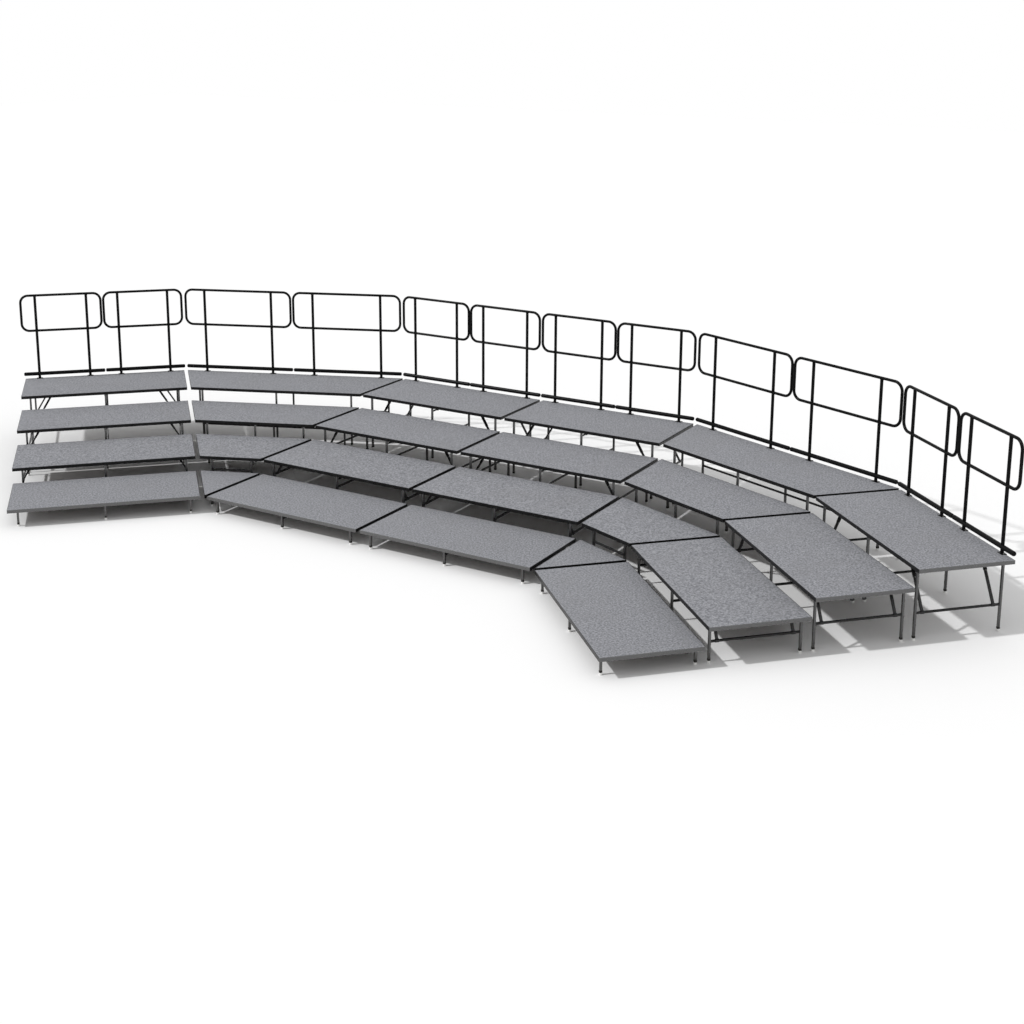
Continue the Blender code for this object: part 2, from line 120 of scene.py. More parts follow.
camera_turn = (Matrix.Rotation(camera_heading, 4, "Z") @ Matrix.Rotation(math.pi / 2 - camera_dip, 4, "X")
               @ Matrix.Rotation(camera_roll, 4, "Z"))
bpy.ops.object.camera_add(location=camera_place, rotation=camera_turn.to_euler())
camera = bpy.context.object
camera.name = "studio_camera"
camera.data.sensor_fit = "HORIZONTAL"
camera.data.sensor_width = sensor_width
camera.data.lens = lens_in_pixels * sensor_width / picture_width
camera.data.shift_y = (axis_row - picture_width / 2) / picture_width
bpy.context.scene.camera = camera
bpy.context.scene.view_settings.view_transform = "Standard"


# Setting out. Straight platforms stand in four columns and wedges fill the two bends between them.
# Their sizes and places are read from the solids, so that every piece lies where its solid does.
wing_turn = math.radians(45)
tiers = (1, 2, 3, 4)
straight_units = ("left_wing", "centre_left", "centre_right", "right_wing")
wedge_units = ("left_wedge", "right_wedge")
first_low, first_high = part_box("centre_left_tier_1_platform")
second_low, second_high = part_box("centre_left_tier_2_platform")
deck_length, deck_depth, first_top = first_high - first_low
seam = -2 * first_high.x
tier_pitch = second_low.y - first_low.y
tier_rise = second_high.z - first_high.z
wing_low, wing_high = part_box("right_wing_tier_1_edge_frame")
wing_corner = Vector((wing_low.x, wing_high.y - deck_depth * math.cos(wing_turn), 0))
wedge_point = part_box("right_wedge_tier_1_platform")[0]


def deck_top(tier):
    """Height of a tier's carpet above the floor."""
    return first_top + (tier - 1) * tier_rise


def straight_place(unit, tier, height=0.0):
    """Place of a straight platform's left front corner, at a height."""
    back = Matrix.Translation((0, (tier - 1) * tier_pitch, height))
    if unit == "centre_left":
        return Matrix.Translation((first_low.x, first_low.y, 0)) @ back
    if unit == "centre_right":
        return Matrix.Translation((seam / 2, first_low.y, 0)) @ back
    if unit == "right_wing":
        return Matrix.Translation(wing_corner) @ Matrix.Rotation(-wing_turn, 4, "Z") @ back
    turn = Matrix.Rotation(wing_turn, 4, "Z")
    corner = Vector((-wing_corner.x, wing_corner.y, 0)) - turn @ Vector((deck_length, 0, 0))
    return Matrix.Translation(corner) @ turn @ back


def wedge_place(unit, height=0.0):
    """Place of the point where a wedge's two sides would meet, at a height."""
    side = 1 if unit == "right_wedge" else -1
    turn = Matrix.Rotation(-side * wing_turn / 2, 4, "Z")
    return Matrix.Translation((side * wedge_point.x, wedge_point.y, height)) @ turn


def wedge_edges(tier):
    """Distance from the point and half length of a wedge's front and back edges."""
    low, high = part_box(f"right_wedge_tier_{tier}_platform")
    sides = ((low.y - wedge_point.y) / math.cos(wing_turn), high.y - wedge_point.y)
    return [(side * math.cos(wing_turn / 2), side * math.sin(wing_turn / 2)) for side in sides]


def node_of(unit, tier, wing_part):
    """The solid that a piece stands for: the right wing is taken apart, the other units are whole."""
    return f"{unit}_tier_{tier}_{wing_part if unit == 'right_wing' else 'platform'}"


# Deck carpet. Grey needle-punch carpet glued to the board, trimmed square and rolled a little
# over its edge, so that it sits inside the metal edge section with its pile just level with it.
carpet_thickness = 0.006
carpet_inset = 0.0048
carpet_roll = 0.0035
carpet_dark = (0.123, 0.126, 0.141, 1.0)
carpet_light = (0.338, 0.343, 0.366, 1.0)
carpet_trodden = (0.205, 0.205, 0.215, 1.0)
fibre_scale, tuft_scale, clump_scale = 720.0, 190.0, 46.0


def noise(tree, scale, detail=2.0, roughness=0.5, stretch=(1.0, 1.0, 1.0)):
    """Noise from 0 to 1 over the piece, which can be stretched along an axis."""
    coordinates = tree.nodes.new("ShaderNodeTexCoord")
    mapping = tree.nodes.new("ShaderNodeMapping")
    mapping.inputs["Scale"].default_value = stretch
    tree.links.new(coordinates.outputs["Object"], mapping.inputs["Vector"])
    made = tree.nodes.new("ShaderNodeTexNoise")
    tree.links.new(mapping.outputs["Vector"], made.inputs["Vector"])
    feed(tree, made.inputs["Scale"], scale)
    made.inputs["Detail"].default_value = detail
    made.inputs["Roughness"].default_value = roughness
    return made.outputs["Fac"]


def limit(tree, value, low, high, to_low=0.0, to_high=1.0):
    """A value from one range brought to another, held at its ends."""
    made = tree.nodes.new("ShaderNodeMapRange")
    for socket, given in zip(made.inputs, (value, low, high, to_low, to_high)):
        feed(tree, socket, given)
    return made.outputs["Result"]


def mix(tree, share, first, second):
    """A colour between two, by a share from 0 to 1."""
    made = tree.nodes.new("ShaderNodeMix")
    made.data_type = "RGBA"
    feed(tree, made.inputs[0], share)
    feed(tree, made.inputs[6], first)
    feed(tree, made.inputs[7], second)
    return made.outputs[2]


def relief(tree, height, depth, strength=1.0):
    """A surface normal from a height."""
    bump = tree.nodes.new("ShaderNodeBump")
    bump.inputs["Distance"].default_value = depth
    bump.inputs["Strength"].default_value = strength
    feed(tree, bump.inputs["Height"], height)
    return bump.outputs["Normal"]


def new_group(name, inputs, outputs):
    """An empty shader node group with named numbers in and out."""
    group = bpy.data.node_groups.new(name, "ShaderNodeTree")
    for label, value in inputs.items():
        socket = group.interface.new_socket(label, in_out="INPUT", socket_type="NodeSocketFloat")
        socket.default_value = value
    for label in outputs:
        group.interface.new_socket(label, in_out="OUTPUT", socket_type="NodeSocketFloat")
    given = group.nodes.new("NodeGroupInput").outputs
    result = group.nodes.new("NodeGroupOutput").inputs
    return group, given, result


def use_group(tree, group, **values):
    """Place a node group in a material with its own values."""
    made = tree.nodes.new("ShaderNodeGroup")
    made.node_tree = group
    for label, value in values.items():
        feed(tree, made.inputs[label.replace("_", " ")], value)
    return made.outputs


fibre_mottle, given, result = new_group(
    "fibre_mottle", {"Fibres": 700.0, "Tufts": 180.0, "Clumps": 60.0, "Contrast": 1.0}, ("Shade", "Height"))
fibres = calculate(fibre_mottle, "SUBTRACT", noise(fibre_mottle, given["Fibres"], 3.0, 0.7), 0.5)
tufts = calculate(fibre_mottle, "SUBTRACT", noise(fibre_mottle, given["Tufts"], 2.0), 0.5)
clumps = calculate(fibre_mottle, "SUBTRACT", noise(fibre_mottle, given["Clumps"], 3.0, 0.65), 0.5)
pile = calculate(fibre_mottle, "MULTIPLY_ADD", tufts, 0.9, fibres)
flecks = calculate(fibre_mottle, "MULTIPLY_ADD", clumps, 3.0, pile)
feed(fibre_mottle, result["Shade"],
     calculate(fibre_mottle, "MULTIPLY_ADD", flecks, given["Contrast"], 0.5))
feed(fibre_mottle, result["Height"], pile)

carpet_finish, tree, shader = new_finish("needle_punch_carpet", 0.96, specular=0.12)
mottle = use_group(tree, fibre_mottle, Fibres=fibre_scale, Tufts=tuft_scale, Clumps=clump_scale,
                   Contrast=1.1)
carpet_colour = mix(tree, limit(tree, mottle["Shade"], 0.0, 1.0), carpet_dark, carpet_light)
trodden = limit(tree, noise(tree, 1.7, 4.0, 0.6), 0.48, 0.72, 0.0, 0.35)
feed(tree, shader.inputs["Base Color"], mix(tree, trodden, carpet_colour, carpet_trodden))
feed(tree, shader.inputs["Normal"], relief(tree, mottle["Height"], 0.0015, 0.7))
shader.inputs["Sheen Weight"].default_value = 0.12
shader.inputs["Sheen Roughness"].default_value = 0.6


def everything(part):
    """Choose every face, edge or corner."""
    return True


def open_piece(piece, kind, chosen):
    """Open a piece for editing with the chosen faces, edges or corners selected."""
    bpy.ops.object.select_all(action="DESELECT")
    bpy.context.view_layer.objects.active = piece
    piece.select_set(True)
    bpy.ops.object.mode_set(mode="EDIT")
    bpy.ops.mesh.select_mode(type=kind)
    bpy.ops.mesh.select_all(action="DESELECT")
    shape = bmesh.from_edit_mesh(piece.data)
    for part in {"FACE": shape.faces, "EDGE": shape.edges, "VERT": shape.verts}[kind]:
        if chosen(part):
            part.select_set(True)
    shape.select_flush_mode()
    bmesh.update_edit_mesh(piece.data)


def close_piece(piece, smooth_angle=None):
    """Leave editing, and shade a round piece smooth up to an angle."""
    bpy.ops.object.mode_set(mode="OBJECT")
    if smooth_angle is not None:
        bpy.ops.object.select_all(action="DESELECT")
        bpy.context.view_layer.objects.active = piece
        piece.select_set(True)
        bpy.ops.object.shade_smooth_by_angle(angle=math.radians(smooth_angle))


def new_piece(name, finish):
    """Name the primitive just added, bring its place into its mesh and give it its finish."""
    piece = bpy.context.object
    piece.name = name
    bpy.ops.object.transform_apply(location=True, rotation=True, scale=True)
    piece.data.materials.append(finish)
    return piece


def straight_outline(name, finish):
    """The flat outline of a straight platform."""
    bpy.ops.object.select_all(action="DESELECT")
    bpy.ops.mesh.primitive_plane_add(size=1, location=(deck_length / 2, deck_depth / 2, 0))
    bpy.context.object.scale = (deck_length, deck_depth, 1)
    return new_piece(name, finish)


def wedge_outline(name, finish, tier):
    """The flat outline of a wedge: its front edge is drawn together, on the first tier to a point."""
    (front, front_half), (back, back_half) = wedge_edges(tier)
    bpy.ops.object.select_all(action="DESELECT")
    bpy.ops.mesh.primitive_plane_add(size=1, location=(0, (front + back) / 2, 0))
    bpy.context.object.scale = (2 * back_half, back - front, 1)
    piece = new_piece(name, finish)
    open_piece(piece, "VERT", lambda corner: corner.co.y < (front + back) / 2)
    bpy.ops.transform.resize(value=(front_half / back_half, 1, 1), center_override=(0, front, 0))
    bpy.ops.mesh.select_all(action="SELECT")
    bpy.ops.mesh.remove_doubles(threshold=0.0005)
    close_piece(piece)
    return piece


def make_slab(outline, inset, top, bottom):
    """Make a flat outline a closed slab, drawn in from the outline."""
    open_piece(outline, "FACE", everything)
    bpy.ops.mesh.inset(thickness=inset)
    bpy.ops.mesh.select_all(action="INVERT")
    bpy.ops.mesh.delete(type="FACE")
    bpy.ops.mesh.select_all(action="SELECT")
    bpy.ops.transform.translate(value=(0, 0, top))
    bpy.ops.mesh.extrude_region_move(TRANSFORM_OT_translate={"value": (0, 0, bottom - top)})
    bpy.ops.mesh.select_all(action="SELECT")
    bpy.ops.mesh.normals_make_consistent(inside=False)
    close_piece(outline)


def make_carpet(outline):
    """A slab of carpet with its top edge rolled over."""
    make_slab(outline, carpet_inset, 0.0, -carpet_thickness)
    open_piece(outline, "EDGE",
               lambda edge: all(corner.co.z > -carpet_thickness / 2 for corner in edge.verts))
    bpy.ops.mesh.bevel(offset=carpet_roll, segments=4, affect="EDGES")
    close_piece(outline, 40)
    return outline


def put(pattern, name, place, body, slot, *nodes):
    """Set a copy of a pattern, with its own mesh, at its place and on its body."""
    mesh = pattern.data.copy()
    mesh.name = name
    mesh.transform(place)
    piece = bpy.data.objects.new(name, mesh)
    bpy.context.collection.objects.link(piece)
    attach(piece, body)
    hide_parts(*nodes)
    return piece


def lay(patterns, part, slot, wing_part):
    """Set a piece of every deck, from patterns for straight decks, each wedge tier and single decks."""
    for tier in tiers:
        top = deck_top(tier)
        for unit in straight_units:
            put(patterns.get((unit, tier), patterns["straight"]), f"{unit}_tier_{tier}_{part}",
                straight_place(unit, tier, top), "risers", slot, node_of(unit, tier, wing_part))
        for unit in wedge_units:
            put(patterns[tier], f"{unit}_tier_{tier}_{part}", wedge_place(unit, top),
                "risers", slot, node_of(unit, tier, wing_part))
    for pattern in patterns.values():
        bpy.data.objects.remove(pattern)


def every_deck(name, finish, make):
    """A pattern for the straight decks and one for each wedge tier, made from their outlines."""
    patterns = {"straight": make(straight_outline(name, finish))}
    for tier in tiers:
        patterns[tier] = make(wedge_outline(name, finish, tier))
    return patterns


lay(every_deck("carpet", carpet_finish, make_carpet), "carpet", "carpeted_deck", "deck_board")


# Deck boards. Film-faced plywood under the carpet: a dark brown resin film with a fine mesh print,
# dropped into the edge section and resting on its ledge.
board_thickness = 0.025
board_gap = 0.0002
film_colour = (0.040, 0.026, 0.018, 1.0)
film_rubbed = (0.105, 0.074, 0.050, 1.0)

film_finish, tree, shader = new_finish("film_faced_plywood", 0.42)
print_height = noise(tree, 420.0, 1.0, 0.4, (1.0, 1.0, 0.2))
rubbed = limit(tree, noise(tree, 9.0, 5.0, 0.7), 0.52, 0.75, 0.0, 0.6)
feed(tree, shader.inputs["Base Color"], mix(tree, rubbed, film_colour, film_rubbed))
feed(tree, shader.inputs["Roughness"], limit(tree, rubbed, 0.0, 0.6, 0.38, 0.7))
feed(tree, shader.inputs["Normal"], relief(tree, print_height, 0.0006, 0.6))


def make_board(outline):
    """A board under the carpet."""
    make_slab(outline, carpet_inset, -carpet_thickness - board_gap, -board_thickness)
    return outline


lay(every_deck("board", film_finish, make_board), "plywood", "carpeted_deck", "deck_board")


# Edge sections. A rolled steel section runs all round each deck: a thin wall with a rounded lip,
# two grooves along it and a ledge for the board. Powder coated black. The outer ends of the wings and
# most fronts of the first tier get a paler, glossier copy of that coat, which is painted reflection
# of the lit floor that these faces mirror.
edge_height = 0.044
edge_wall = 0.004
lip_below_top = 0.001
lip_round = 0.0012
groove_depth = 0.0013
edge_levels = (-0.044, -0.0335, -0.0305, -0.0185, -0.0155, -lip_below_top)
groove_middles = (-0.032, -0.017)
outer_reach = 0.0036
ledge_width = 0.030
ledge_levels = (-board_thickness - 0.0044, -board_thickness - 0.0004)
black_paint = (0.004, 0.004, 0.0042, 1.0)
floor_reflection_grey = (0.032, 0.032, 0.033, 1.0)
bare_steel = (0.230, 0.225, 0.215, 1.0)
dust_colour = (0.200, 0.190, 0.170, 1.0)

rubbed_edges, given, result = new_group(
    "rubbed_edges", {"Radius": 0.002, "Amount": 1.0, "Patches": 14.0}, ("Mask",))
rounded = rubbed_edges.nodes.new("ShaderNodeBevel")
rounded.samples = 4
rubbed_edges.links.new(given["Radius"], rounded.inputs["Radius"])
surface = rubbed_edges.nodes.new("ShaderNodeNewGeometry")
agreement = rubbed_edges.nodes.new("ShaderNodeVectorMath")
agreement.operation = "DOT_PRODUCT"
rubbed_edges.links.new(rounded.outputs["Normal"], agreement.inputs[0])
rubbed_edges.links.new(surface.outputs["Normal"], agreement.inputs[1])
sharp = limit(rubbed_edges, agreement.outputs["Value"], 0.98, 0.80)
patches = limit(rubbed_edges, noise(rubbed_edges, given["Patches"], 5.0, 0.7), 0.50, 0.70)
worn = calculate(rubbed_edges, "MULTIPLY", sharp, patches)
feed(rubbed_edges, result["Mask"], calculate(rubbed_edges, "MULTIPLY", worn, given["Amount"]))

powder_coat, given, result = new_group(
    "powder_coat", {"Grain": 900.0, "Streaks": 6.0}, ("Height", "Roughness", "Scuffs"))
peel = noise(powder_coat, given["Grain"], 2.0, 0.55)
handled = noise(powder_coat, given["Streaks"], 5.0, 0.65)
feed(powder_coat, result["Height"], peel)
feed(powder_coat, result["Roughness"], limit(powder_coat, handled, 0.3, 0.7, 0.22, 0.34))
scratches = noise(powder_coat, calculate(powder_coat, "MULTIPLY", given["Streaks"], 9.0), 3.0, 0.7,
                  (0.15, 1.0, 1.0))
feed(powder_coat, result["Scuffs"], limit(powder_coat, scratches, 0.66, 0.74))

floor_dust, given, result = new_group("floor_dust", {"Reach": 0.2, "Amount": 0.5}, ("Mask",))
coordinates = floor_dust.nodes.new("ShaderNodeTexCoord")
height = floor_dust.nodes.new("ShaderNodeSeparateXYZ")
floor_dust.links.new(coordinates.outputs["Object"], height.inputs["Vector"])
share_up = calculate(floor_dust, "DIVIDE", height.outputs["Z"], given["Reach"])
low_down = limit(floor_dust, share_up, 0.0, 1.0, 1.0, 0.0)
specks = limit(floor_dust, noise(floor_dust, 45.0, 5.0, 0.75), 0.35, 0.7)
settled = calculate(floor_dust, "MULTIPLY", low_down, specks)
feed(floor_dust, result["Mask"], calculate(floor_dust, "MULTIPLY", settled, given["Amount"]))


def coat(name, paint, wear, scuffs, dust, specular=0.5, gloss_index=1.5):
    """A powder coat finish with rubbed edges, light scuffs and dust low down."""
    material, tree, shader = new_finish(name, 0.45, specular=specular)
    shader.inputs["IOR"].default_value = gloss_index
    texture = use_group(tree, powder_coat, Grain=900.0, Streaks=6.0)
    rubbed = use_group(tree, rubbed_edges, Radius=0.0022, Amount=wear, Patches=16.0)["Mask"]
    dusty = use_group(tree, floor_dust, Reach=0.22, Amount=dust)["Mask"]
    colour = mix(tree, calculate(tree, "MULTIPLY", texture["Scuffs"], scuffs), paint, dust_colour)
    colour = mix(tree, dusty, colour, dust_colour)
    feed(tree, shader.inputs["Base Color"], mix(tree, rubbed, colour, bare_steel))
    feed(tree, shader.inputs["Roughness"], texture["Roughness"])
    feed(tree, shader.inputs["Normal"], relief(tree, texture["Height"], 0.0004, 0.35))
    return material


black_edge = coat("edge_black_coat", black_paint, 0.45, 0.12, 0.0, 0.25)
# Paler, glossier copy of the black coat: painted reflection of the lit floor, used on chosen faces only.
painted_reflection_edge = coat("edge_painted_reflection_coat", floor_reflection_grey, 0.6, 0.2, 0.0, 1.0, 1.6)


def make_band(outline, inset, width, levels):
    """Make a flat outline a closed band of the given width, built up through its levels."""
    open_piece(outline, "FACE", everything)
    if inset > 0:
        bpy.ops.mesh.inset(thickness=inset)
        bpy.ops.mesh.select_all(action="INVERT")
        bpy.ops.mesh.delete(type="FACE")
        bpy.ops.mesh.select_all(action="SELECT")
    bpy.ops.transform.translate(value=(0, 0, levels[0]))
    bpy.ops.mesh.inset(thickness=width)
    bpy.ops.mesh.delete(type="ONLY_FACE")
    bpy.ops.mesh.select_all(action="SELECT")
    for low, high in zip(levels, levels[1:]):
        bpy.ops.mesh.extrude_region_move(TRANSFORM_OT_translate={"value": (0, 0, high - low)})
    bpy.ops.mesh.select_all(action="SELECT")
    bpy.ops.mesh.normals_make_consistent(inside=False)
    close_piece(outline)


def join(name, parts):
    """Join parts into one piece."""
    bpy.ops.object.select_all(action="DESELECT")
    for part in parts:
        part.select_set(True)
    bpy.context.view_layer.objects.active = parts[0]
    bpy.ops.object.join()
    parts[0].name = name
    return parts[0]


def make_edge_section(wall, ledge):
    """The wall with its grooves and lip, and the ledge, from two outlines of the same deck."""
    middle = sum((corner.co for corner in wall.data.vertices), Vector()) / len(wall.data.vertices)

    def outward(face):
        across = face.calc_center_median() - middle
        return abs(face.normal.z) < 0.5 and face.normal.dot(across) > 0

    make_band(wall, 0.0, edge_wall, edge_levels)
    open_piece(wall, "FACE", lambda face: outward(face) and any(
        abs(face.calc_center_median().z - level) < 0.001 for level in groove_middles))
    bpy.ops.mesh.extrude_region_shrink_fatten(
        TRANSFORM_OT_shrink_fatten={"value": -groove_depth, "use_even_offset": True})
    close_piece(wall)

    def upper(face):
        return face.normal.z > 0.9 and face.calc_center_median().z > -0.002

    open_piece(wall, "EDGE", lambda edge: any(outward(face) for face in edge.link_faces)
               and any(upper(face) for face in edge.link_faces))
    bpy.ops.mesh.bevel(offset=lip_round, segments=3, affect="EDGES")
    close_piece(wall, 35)
    make_band(ledge, edge_wall - 0.0002, ledge_width, ledge_levels)
    return join("edge_section", [wall, ledge])


edges = {"straight": make_edge_section(straight_outline("wall", black_edge),
                                       straight_outline("ledge", black_edge))}
outer_ends = {"left_wing": (0.0,), "right_wing": (deck_length,)}
for unit in straight_units:
    for tier in tiers:
        section = edges["straight"].copy()
        section.data = edges["straight"].data.copy()
        section.data.materials.append(painted_reflection_edge)
        # Painted reflection: first-tier fronts (not the right wing's) and the wings' outer ends take the
        # paler coat.
        painted_reflection_front = tier == 1 and unit != "right_wing"
        for face in section.data.polygons:
            on_end = any(abs(face.center.x - end) < outer_reach for end in outer_ends.get(unit, ()))
            on_front = painted_reflection_front and abs(face.center.y) < outer_reach
            if (on_end and abs(face.normal.y) < 0.5) or (on_front and abs(face.normal.x) < 0.5):
                face.material_index = len(section.data.materials) - 1
        edges[unit, tier] = section
for tier in tiers:
    edges[tier] = make_edge_section(wedge_outline("wall", black_edge, tier),
                                    wedge_outline("ledge", black_edge, tier))
lay(edges, "edge_section", "edge_trim", "edge_frame")


# Under-deck fittings of the straight decks. Three flat steel straps cross under each board, riveted
# to the ledges, and two punched lugs welded to each strap carry the pivot tube of a leg frame.
leg_end_inset = 5 * 0.0254
leg_edge_inset = 2.3 * 0.0254
stations = {"inner": leg_end_inset, "middle": deck_length / 2, "outer": deck_length - leg_end_inset}
pivot_drop = {"inner": 0.062, "middle": 0.104, "outer": 0.062}
strap_width = 0.064
strap_top = -0.0258
strap_thickness = 0.0070
strap_end_inset = 0.017
strap_rib = 0.010
strap_rib_depth = 0.0045
strap_ease = 0.0008
lug_inset = 0.200
lug_width = 0.044
lug_thickness = 0.006
lug_below_pivot = 0.019
lug_corner = 0.014
pivot_hole = 0.015
rivet_radius = 0.005
rivet_spread = 0.32 * strap_width
strap_coat = coat("strap_black_coat", black_paint, 0.8, 0.4, 0.0)
zinc_colour = (0.420, 0.415, 0.400, 1.0)

zinc_finish, tree, shader = new_finish("zinc_plate", 0.38, metallic=1.0)
blotches = noise(tree, 60.0, 4.0, 0.6)
feed(tree, shader.inputs["Base Color"], mix(tree, blotches, zinc_colour, bare_steel))
feed(tree, shader.inputs["Roughness"], limit(tree, blotches, 0.3, 0.7, 0.30, 0.50))


def block(name, finish, low, high, bevel=0.0, segments=2):
    """A rectangular bar between two corners with its edges eased."""
    low, high = Vector(low), Vector(high)
    bpy.ops.object.select_all(action="DESELECT")
    bpy.ops.mesh.primitive_cube_add(size=1, location=(low + high) / 2)
    bpy.context.object.scale = high - low
    piece = new_piece(name, finish)
    if bevel > 0:
        open_piece(piece, "EDGE", everything)
        bpy.ops.mesh.bevel(offset=bevel, segments=segments, affect="EDGES")
        close_piece(piece, 40)
    return piece


def rivet(name, finish, place, radius, sides=10):
    """A low domed head that faces down."""
    bpy.ops.object.select_all(action="DESELECT")
    bpy.ops.mesh.primitive_cylinder_add(vertices=sides, radius=radius, depth=0.4 * radius, location=place)
    piece = new_piece(name, finish)
    open_piece(piece, "FACE", lambda face: face.normal.z < -0.9)
    bpy.ops.mesh.extrude_region_move(TRANSFORM_OT_translate={"value": (0, 0, -0.35 * radius)})
    bpy.ops.transform.resize(value=(0.55, 0.55, 1), center_override=place)
    close_piece(piece, 50)
    return piece


def make_strap(x):
    """A flat strap with a pressed rib, and two rivets at each end."""
    low = strap_top - strap_thickness
    ends = (strap_end_inset, deck_depth - strap_end_inset)
    strap = block("strap", strap_coat, (x - strap_width / 2, ends[0], low),
                  (x + strap_width / 2, ends[1], strap_top))
    open_piece(strap, "FACE", lambda face: face.normal.z < -0.9)
    bpy.ops.mesh.inset(thickness=strap_rib)
    bpy.ops.mesh.extrude_region_move(TRANSFORM_OT_translate={"value": (0, 0, strap_rib_depth)})
    close_piece(strap)
    open_piece(strap, "EDGE", everything)
    bpy.ops.mesh.bevel(offset=strap_ease, segments=2, affect="EDGES")
    close_piece(strap, 40)
    parts = [strap]
    for y in (ends[0] + rivet_radius, ends[1] - rivet_radius):
        for side in (-1, 1):
            parts.append(rivet("rivet", zinc_finish, (x + side * rivet_spread, y, low - 0.0005),
                               rivet_radius))
    return parts


def make_lug(x, y, drop):
    """A punched plate with a round hole for a pivot tube and its lower corners rounded."""
    half = lug_width / 2
    lug = block("lug", strap_coat, (x - half, y - lug_thickness / 2, -drop - lug_below_pivot),
                (x + half, y + lug_thickness / 2, strap_top - strap_thickness * 0.6))
    open_piece(lug, "EDGE", lambda edge: all(corner.co.z < -drop for corner in edge.verts)
               and abs(edge.verts[0].co.y - edge.verts[1].co.y) > lug_thickness / 2)
    bpy.ops.mesh.bevel(offset=lug_corner, segments=6, affect="EDGES")
    close_piece(lug)
    bpy.ops.object.select_all(action="DESELECT")
    bpy.ops.mesh.primitive_cylinder_add(vertices=28, radius=pivot_hole, depth=4 * lug_thickness,
                                        location=(x, y, -drop), rotation=(math.pi / 2, 0, 0))
    punch = bpy.context.object
    hole = lug.modifiers.new("hole", "BOOLEAN")
    hole.operation = "DIFFERENCE"
    hole.object = punch
    bpy.context.view_layer.objects.active = lug
    bpy.ops.object.modifier_apply(modifier="hole")
    bpy.data.objects.remove(punch)
    close_piece(lug, 40)
    return lug


fitting_parts = []
for which, x in stations.items():
    fitting_parts += make_strap(x)
    for y in (lug_inset, deck_depth - lug_inset):
        fitting_parts.append(make_lug(x, y, pivot_drop[which]))
fittings = join("under_deck_fittings", fitting_parts)
for tier in tiers:
    for unit in straight_units:
        put(fittings, f"{unit}_tier_{tier}_fittings", straight_place(unit, tier, deck_top(tier)),
            "risers", "edge_trim", node_of(unit, tier, "edge_frame"))
bpy.data.objects.remove(fittings)


# Folding leg frames of the straight decks. Each is two square steel legs welded to a pivot tube, with
# a crossbar on the taller tiers. Every leg ends in a black rubber ferrule over a pale plastic glide.
leg_width = 0.027
leg_ease = 0.0025
tube_radius = 0.0125
leg_head = 0.010
glide_height = 0.024
glide_radius = 0.0200
glide_foot = 0.45 * glide_height
glide_neck = 0.5 * glide_height
glide_shoulder = 0.0012
glide_step = 0.0010
glide_taper = 0.965
glide_ease = 0.0025
leg_foot = 0.6 * glide_height
ferrule_width = 0.0305
ferrule_height = 0.024
tube_sides = 24
pipe_wall = 0.002
weld_size = 0.0022
weld_swell = 0.0005
collar_half = 0.004
collar_lip = 0.0028
collar_gap = 0.002
crossbar_height = {2: 9.25 * 0.0254, 3: 12.1 * 0.0254, 4: 12.1 * 0.0254}
crossbar_radius = 0.0150
leg_paint = (0.006, 0.006, 0.0063, 1.0)
glide_colour = (0.840, 0.840, 0.825, 1.0)
glide_soiled = (0.520, 0.510, 0.480, 1.0)
leg_coat = coat("leg_black_coat", leg_paint, 0.7, 0.2, 0.25, 1.0, 1.55)
tube_coat = coat("tube_black_coat", leg_paint, 0.7, 0.2, 0.15, 0.3)
ferrule_colour = (0.010, 0.010, 0.010, 1.0)

ferrule_finish, tree, shader = new_finish("ferrule_black_rubber", 0.8, specular=0.2)
soiled = use_group(tree, floor_dust, Reach=0.08, Amount=0.35)["Mask"]
feed(tree, shader.inputs["Base Color"], mix(tree, soiled, ferrule_colour, dust_colour))
feed(tree, shader.inputs["Normal"], relief(tree, noise(tree, 320.0, 2.0), 0.0004, 0.4))

glide_finish, tree, shader = new_finish("pale_glide_plastic", 0.5)
soiled = use_group(tree, floor_dust, Reach=0.012, Amount=0.6)["Mask"]
feed(tree, shader.inputs["Base Color"], mix(tree, soiled, glide_colour, glide_soiled))
feed(tree, shader.inputs["Normal"], relief(tree, noise(tree, 500.0, 2.0), 0.0004, 0.3))


def tube(name, finish, start, end, radius, open_ends=True):
    """A round tube between two points, its ends cut open or closed with a cap."""
    start, end = Vector(start), Vector(end)
    run = end - start
    bpy.ops.object.select_all(action="DESELECT")
    bpy.ops.mesh.primitive_cylinder_add(vertices=tube_sides, radius=radius, depth=run.length,
                                        location=(start + end) / 2,
                                        rotation=run.to_track_quat("Z", "Y").to_euler())
    piece = new_piece(name, finish)
    along = run.normalized()
    open_piece(piece, "FACE", lambda face: abs(face.normal.dot(along)) > 0.9)
    if open_ends:
        bpy.ops.mesh.inset(thickness=pipe_wall)
        bpy.ops.mesh.extrude_region_shrink_fatten(TRANSFORM_OT_shrink_fatten={"value": -0.6 * radius})
    else:
        bpy.ops.mesh.inset(thickness=0.25 * radius, depth=0.12 * radius)
    close_piece(piece, 40)
    return piece


def weld_bead(name, finish, place, along, radius):
    """A fillet weld round a tube where it meets another."""
    bpy.ops.object.select_all(action="DESELECT")
    bpy.ops.mesh.primitive_torus_add(major_segments=20, minor_segments=6, major_radius=radius + weld_swell,
                                     minor_radius=weld_size, location=place,
                                     rotation=Vector(along).to_track_quat("Z", "Y").to_euler())
    piece = new_piece(name, finish)
    open_piece(piece, "VERT", lambda corner: corner.index % 4 < 2)
    bpy.ops.transform.shrink_fatten(value=weld_swell)
    close_piece(piece, 60)
    return piece


